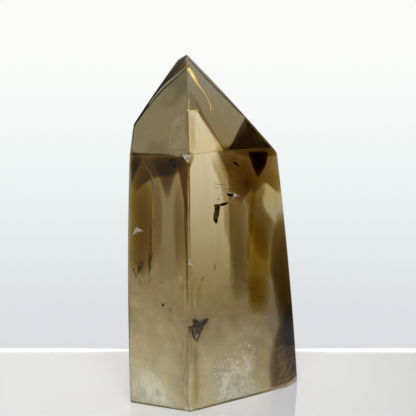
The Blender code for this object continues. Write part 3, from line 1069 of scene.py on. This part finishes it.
# material, face, path in pixels, depth or depths, widths, thickness
THREADS = {
    # painted reflection: the bright arc where the crack mirrors the light
    "crack_arc_left": (PAINTED_SHINE, RIGHT, [(215.5, 203), (217.5, 198), (221, 194.5), (226, 192.8), (232, 193.2)],
        (3.2, 3, 2.8), (0.1, 0.22, 0.14), 0.08),
    "crack_arc_main": (PAINTED_SHINE, RIGHT, [(233, 193.3), (236.5, 195), (240, 197.5), (243.5, 201.5),
        (245.8, 206.5), (247.2, 212), (248, 216)], (2.6, 3, 3.4), (0.3, 0.34, 0.26, 0.1), 0.1),
    "crack_branch": (PAINTED_SHINE, RIGHT, [(229.3, 203.5), (231.8, 199.5), (234.3, 196)], (2.9, 2.7), (0.1, 0.16),
        0.06),
    "fly_whisker_top": (DARK_FILM_AND_SHADE, LEFT, [(180, 321.6), (185, 321), (189.5, 321)], 0.8, (0.04, 0.14), 0.06),
    "fly_whisker_low": (DARK_FILM_AND_SHADE, LEFT, [(184, 328), (189.5, 326.6)], 0.8, (0.04, 0.14), 0.06),
    "fly_cross": (FLY_BROWN, RIGHT, [(192, 331), (196, 330.5), (200, 332)], 0.7, (0.16, 0.16), 0.1),
    "thread_gold_left": (HONEY_LINE, LEFT, [(142, 160), (148, 169), (152.5, 180), (153.5, 205), (153.3, 235),
        (153.2, 255)], 1.2, (0.1, 0.45, 0.75, 0.55, 0.4, 0.15), 0.06),
    "thread_red_left": (RUST, LEFT, [(150.5, 205), (150.8, 225), (151, 245), (151.5, 262)], 1.2,
        (0.05, 0.35, 0.55, 0.12), 0.08),
    "thread_dash": (DARK_FILM_AND_SHADE, RIGHT, [(203.5, 275.8), (202, 279), (201, 281.5)], 1, (0.08, 0.22, 0.08), 0.08),
    "thread_y": (SPECKLE, RIGHT, [(212.5, 262), (214, 265), (213.6, 270), (216.5, 261.5)], 1,
        (0.1, 0.18, 0.1), 0.08),
    "thread_dash_left": (DARK_FILM_AND_SHADE, LEFT, [(138, 308), (138.2, 312)], 1, (0.06, 0.16), 0.06),
    "thread_faint_left": (SPECKLE, LEFT, [(170, 308), (170, 319)], 1, (0.06, 0.14), 0.05),
    "stripe_upper": (SPECKLE, RIGHT, [(213, 183.5), (220, 184.6), (228, 185.2)], 1, (0.05, 0.14, 0.05), 0.05),
    "stripe_lower": (SPECKLE, RIGHT, [(222, 189), (232, 190), (241, 189.6)], 1, (0.05, 0.12, 0.05), 0.05),
    "stripe_top": (SPECKLE, RIGHT, [(230, 180.5), (238, 181.5)], 1, (0.05, 0.1), 0.05),
    "stripe_short": (DARK_FILM_AND_SHADE, RIGHT, [(214, 187.5), (219, 188.2)], 1, (0.06, 0.12), 0.05),
    **{"web_line_%d" % k: (PALE_FILM, RIGHT, path, 0.5, (0.08, 0.24, 0.08), 0.05)
       for k, path in enumerate(WEB_LINES, 1)},
    # painted highlights: pale lines along the edges of the foot, brightest at the clip
    "foot_bevel_left": (PALE_FILM, LEFT, [(132.3, 400.5), (150, 403.6), (170, 407), (189.5, 410)], 0.4,
        (0.15, 0.15), 0.1),
    "foot_bevel_right": (PALE_FILM, RIGHT, [(192, 410), (215, 404.6), (240, 398.2), (265, 391.4),
        (286, 385.8)], 0.4, (0.15, 0.15, 0.3), 0.1),
    "foot_clip_line": (PAINTED_SHINE, RIGHT, [(286, 386), (291, 382), (296, 376.6)], 0.4, (0.2, 0.4, 0.2), 0.1),
    # painted light and painted shade: a pale band and a dark line along the left tip ridge, where its
    # rounding bends the light
    "ridge_band_left": (RIDGE_PAINTED_LIGHT, TIP_LEFT, [(187.6, 59), (187.4, 66), (182.5, 70.2), (175.5, 76.4),
        (168.5, 82.3), (160.5, 90), (155.4, 96.2), (148.5, 104.4)], 0.5, (0.55, 1.05, 1.0, 0.5), 0.08),
    "ridge_line_left": (DARK_FILM_AND_SHADE, TIP_LEFT, [(186.5, 68.3), (182, 72), (175, 78.5), (168, 84.6), (160, 92.4),
        (155, 98.6), (148, 106.6), (140, 117), (133.5, 127)], 0.5, (0.3, 0.48, 0.46, 0.25), 0.08),
    # the chip's frosted break, with a painted shine
    "chip_arm_left": (PAINTED_SHINE, LEFT, [(182.5, 154.4), (184.8, 157.8), (187.6, 162.2)], 0.5, (0.3, 0.45, 0.3),
        0.1),
    "chip_arm_right": (PAINTED_SHINE, RIGHT, [(191, 154), (190, 158), (188.8, 162.2)], 0.5, (0.25, 0.4, 0.3), 0.1),
    "chip_arm_top": (PAINTED_SHINE, LEFT, [(182.5, 154.4), (185.5, 155.2), (188.6, 155.6)], 0.5, (0.2, 0.3, 0.2),
        0.1),
    # painted shade: the dark line along the right tip ridge
    "ridge_line_right": (DARK_FILM_AND_SHADE, TIP_RIGHT, [(188.6, 59), (197, 68.2), (205, 77.2), (215, 87.8), (225, 98),
        (235, 108.2), (243, 116.2)], 0.5, (0.25, 0.42, 0.42, 0.25), 0.08),
    # painted highlight: the golden glint under the right tip face, made of glowing ribbons
    "tip_flash": (PAINTED_FLASH, TIP_RIGHT, [(188.9, 67), (190.4, 70.5), (192.8, 75.4), (195.6, 80.6), (198.6, 85.4),
        (202.2, 90), (205.3, 94.6), (208, 99.6), (209.8, 104)], 0.8,
        (0.5, 1.5, 1.8, 1.3, 0.6, 0.34, 0.26, 0.24, 0.22), 0.1),
    "tip_flash_core": (PAINTED_FLASH_CORE, TIP_RIGHT, [(189.4, 69), (190.8, 72), (193, 76.2), (195.2, 80.2)], 0.6,
        (0.3, 0.9, 1.0, 0.3), 0.06),
    "tip_flash_bar": (PAINTED_FLASH, TIP_RIGHT, [(210.2, 103.5), (210.7, 107), (210.5, 110.8)], 0.8, (0.2, 0.34, 0.2),
        0.06),
    "tip_flash_line": (PAINTED_FLASH, TIP_RIGHT, [(187.8, 110.5), (193, 110.2), (199, 110.6)], 1, (0.45, 0.4, 0.15),
        0.06),
}
for name, (material, face, pixels, deep, width, thick) in THREADS.items():
    bm = bmesh.new()
    ribbon_shape(bm, face, seen(face, float(np.mean(deep)), pixels), deep, width, thick)
    finish_piece(name, bm, material)

# %% [markdown]
# ## The table
#
# A sheet of glossy white acrylic is the usual base for a picture of a mineral: it throws
# light up into the stone and shows a soft reflection.  Its top glows a little by itself,
# painted light that is strongest in the middle.  Its far edge is slightly rounded, and a
# painted highlight, a faint glow of its own, makes that rounding a thin white line.
# Towards the sides its colour turns grey, painted shade where the light falls off, so
# that the clear stone has no pale edge to mirror.

# %% Table
TABLE_BACK = front_corner.y + 60.5 * MM
TABLE_FRONT = -0.9                         # metres
TABLE_HALF = 170 * MM                      # half its width
TABLE_DEEP = -0.02                         # its underside, in metres
TABLE_GAP = 0.05 * MM                      # how far its top lies below the stone
TABLE_LIP = 0.8 * MM                       # radius of the lip along the far edge
TABLE_WHITE = (0.76, 0.79, 0.86)
# the grey sides are painted shade; the glow of the top and of the lip is painted light
TABLE_SHADE = (0.14, 0.14, 0.15)           # colour at the sides
TABLE_FADE = (0.075, 0.165)                # from the middle, in metres, where white turns into shade
TABLE_GLOW = 0.14
EDGE_GLOW = 0.03


def table_profile():
    turn = [math.radians(180 - 22.5 * k) for k in range(9)]
    return ([(TABLE_FRONT, TABLE_DEEP), (TABLE_FRONT, 0.0)]
            + [(TABLE_BACK + TABLE_LIP * (math.cos(a) - 1), TABLE_LIP * math.sin(a)) for a in turn]
            + [(TABLE_BACK, TABLE_DEEP)])


bm = bmesh.new()
left, right = ([bm.verts.new((x, y, z - TABLE_GAP)) for y, z in table_profile()]
               for x in (-TABLE_HALF, TABLE_HALF))
for k in range(len(left)):
    j = (k + 1) % len(left)
    bm.faces.new((left[k], right[k], right[j], left[j]))
bm.faces.new(left)
bm.faces.new(right[::-1])
bmesh.ops.recalc_face_normals(bm, faces=bm.faces[:])
table = new_object("table", new_mesh("table", bm))

acrylic, tree, gloss = new_material("white_acrylic", roughness=0.06)
from_middle = math_node(tree, "ABSOLUTE", axis_in(tree, 0))
shade = spread(tree, from_middle, *TABLE_FADE)
link(tree, two_tones(tree, shade, TABLE_WHITE, TABLE_SHADE), gloss.inputs["Base Color"])
gloss.inputs["IOR"].default_value = 2.8
gloss.inputs["Emission Color"].default_value = (1, 1, 1, 1)
link(tree, spread(tree, from_middle, *TABLE_FADE, TABLE_GLOW, 0.0), gloss.inputs["Emission Strength"])
table.data.materials.append(acrylic)
lit_edge, tree, gloss = new_material("lit_table_edge")
gloss.inputs["Base Color"].default_value = (1, 1, 1, 1)
gloss.inputs["Emission Color"].default_value = (1, 1, 1, 1)
gloss.inputs["Emission Strength"].default_value = EDGE_GLOW
table.data.materials.append(lit_edge)
for flat in table.data.polygons:
    if 0.05 < abs(flat.normal.y) < 0.99:
        flat.material_index = 1
print("table faces that catch the light:", sum(f.material_index for f in table.data.polygons))

# %% [markdown]
# ## The studio light
#
# A clear stone shows its surroundings more than itself, so the studio is painted all round
# it as a few soft sheets of light and shade.  Each is a `card` with a direction (azimuth 0
# is behind the tower, plus is to the right; elevation is above the level) and soft edges.
# The camera sees a plain pale backdrop in the same place.

# %% Light from every direction
ROOM_COLOUR = (1.0, 0.91, 0.74, 1)
ROOM_LEVEL = 0.34
SHADES = [                                 # azimuth, elevation, half width, half height, softness, level
    (-32, -31, 9, 16, 5, -0.30),           # the dark corner behind to the right
    (-18, -37, 8, 8, 6, -0.02),
    (-18, -47, 8, 5, 4, -0.26),
    (20, -36, 6, 8, 6, -0.06),
    (30, -42, 5, 5, 3, -0.34),
    (45, -27, 14, 12, 10, -0.08),
    (95, 15, 42, 50, 14, -0.34),           # dark side of the room, on the right
    (-105, 50, 35, 30, 14, -0.34),         # and on the left, above
]
LIGHTS = [
    (-4, 14, 16, 26, 6, 0.38),             # the bright backdrop straight behind
    (-5, -5, 10, 5, 4, 0.20),
    (-28.5, -8.8, 2.2, 1.2, 3.2, 0.46),
    (0, -26, 9, 6, 3, 0.56),               # and the sweep that it makes below the table's level
    (180, 25, 26, 45, 8, 3.6),             # a tall soft box behind the camera
    (0, 70, 80, 14, 10, 0.8),
]
COOL_COLOUR = (0.0, 0.25, 1.0, 1)
COOL_LIGHTS = [                            # daylight that takes the yellow out of the palest bands
    (-5, -6, 6, 5, 4, 0.30),
    (0, -25, 8, 5, 4, 0.14),
]

world = bpy.data.worlds.new("studio")
scene.world = world
world.use_nodes = True
sky = world.node_tree
sky.nodes.clear()


def wire(node, name, value):
    if isinstance(value, (int, float, tuple)):
        node.inputs[name].default_value = value
    elif value is not None:
        sky.links.new(value, node.inputs[name])


def calc(kind, a, b=None):
    node = sky.nodes.new("ShaderNodeMath")
    node.operation = kind
    wire(node, 0, a)
    wire(node, 1, b)
    return node.outputs[0]


def ramp(value, start, end, low, high):
    node = sky.nodes.new("ShaderNodeMapRange")
    node.interpolation_type = "SMOOTHSTEP"
    for name, v in (("Value", value), ("From Min", start), ("From Max", end),
                    ("To Min", low), ("To Max", high)):
        wire(node, name, v)
    return node.outputs[0]


direction = sky.nodes.new("ShaderNodeTexCoord").outputs["Generated"]
split = sky.nodes.new("ShaderNodeSeparateXYZ")
wire(split, 0, direction)
ux, uy, uz = split.outputs
azimuth = calc("DEGREES", calc("ARCTAN2", ux, uy))
elevation = calc("DEGREES", calc("ARCSINE", uz))


def card(az, el, wide, tall, soft, level):
    """A soft-edged sheet of light centred on a direction; half sizes and softness in degrees."""
    turn = calc("WRAP", calc("SUBTRACT", azimuth, float(az)), -180.0)
    turn.node.inputs[2].default_value = 180.0
    up = calc("ABSOLUTE", calc("SUBTRACT", elevation, float(el)))
    across = ramp(calc("ABSOLUTE", turn), float(wide - soft), float(wide + soft), 1.0, 0.0)
    along = ramp(up, float(tall - soft), float(tall + soft), 1.0, 0.0)
    return calc("MULTIPLY", calc("MULTIPLY", across, along), float(level))


def glow(colour, base, cards):
    level = base
    for c in cards:
        level = calc("ADD", level, card(*c))
    shader = sky.nodes.new("ShaderNodeBackground")
    shader.inputs["Color"].default_value = colour
    wire(shader, "Strength", calc("MAXIMUM", level, 0.0))
    return shader.outputs[0]


def both(one, two):
    node = sky.nodes.new("ShaderNodeAddShader")
    wire(node, 0, one)
    wire(node, 1, two)
    return node.outputs[0]


soft_light = both(both(glow(ROOM_COLOUR, ROOM_LEVEL, SHADES), glow((1, 1, 1, 1), 0.0, LIGHTS)),
                  glow(COOL_COLOUR, 0.0, COOL_LIGHTS))
backdrop = sky.nodes.new("ShaderNodeBackground")
tone = sky.nodes.new("ShaderNodeValToRGB")
wire(tone, 0, ramp(elevation, -18.0, 9.0, 0.0, 1.0))
stops = tone.color_ramp.elements
stops[0].color, stops[1].color = (0.71, 0.72, 0.755, 1), (0.97, 0.97, 0.955, 1)
stops.new(0.45).color = (0.825, 0.89, 0.88, 1)
wire(backdrop, "Color", tone.outputs[0])
seen = sky.nodes.new("ShaderNodeLightPath").outputs["Is Camera Ray"]
mix = sky.nodes.new("ShaderNodeMixShader")
wire(mix, 0, seen)
wire(mix, 1, soft_light)
wire(mix, 2, backdrop.outputs[0])
sky.links.new(mix.outputs[0], sky.nodes.new("ShaderNodeOutputWorld").inputs[0])
print("soft cards:", len(SHADES) + len(LIGHTS) + len(COOL_LIGHTS))

# %% [markdown]
# ## Render settings and the one body
#
# Light crosses a clear stone many times, so the renderer is allowed many bounces.  Every
# piece is then tied to the one body of the model, and the number of pieces is printed.

# %% Render settings and the body
scene.view_settings.view_transform = "Standard"
scene.cycles.max_bounces = 32
scene.cycles.transmission_bounces = 24
scene.cycles.glossy_bounces = 16
scene.cycles.transparent_max_bounces = 64

for piece in PIECES:
    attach(piece, "root")
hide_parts("quartz_point")
print("pieces:", len(PIECES))
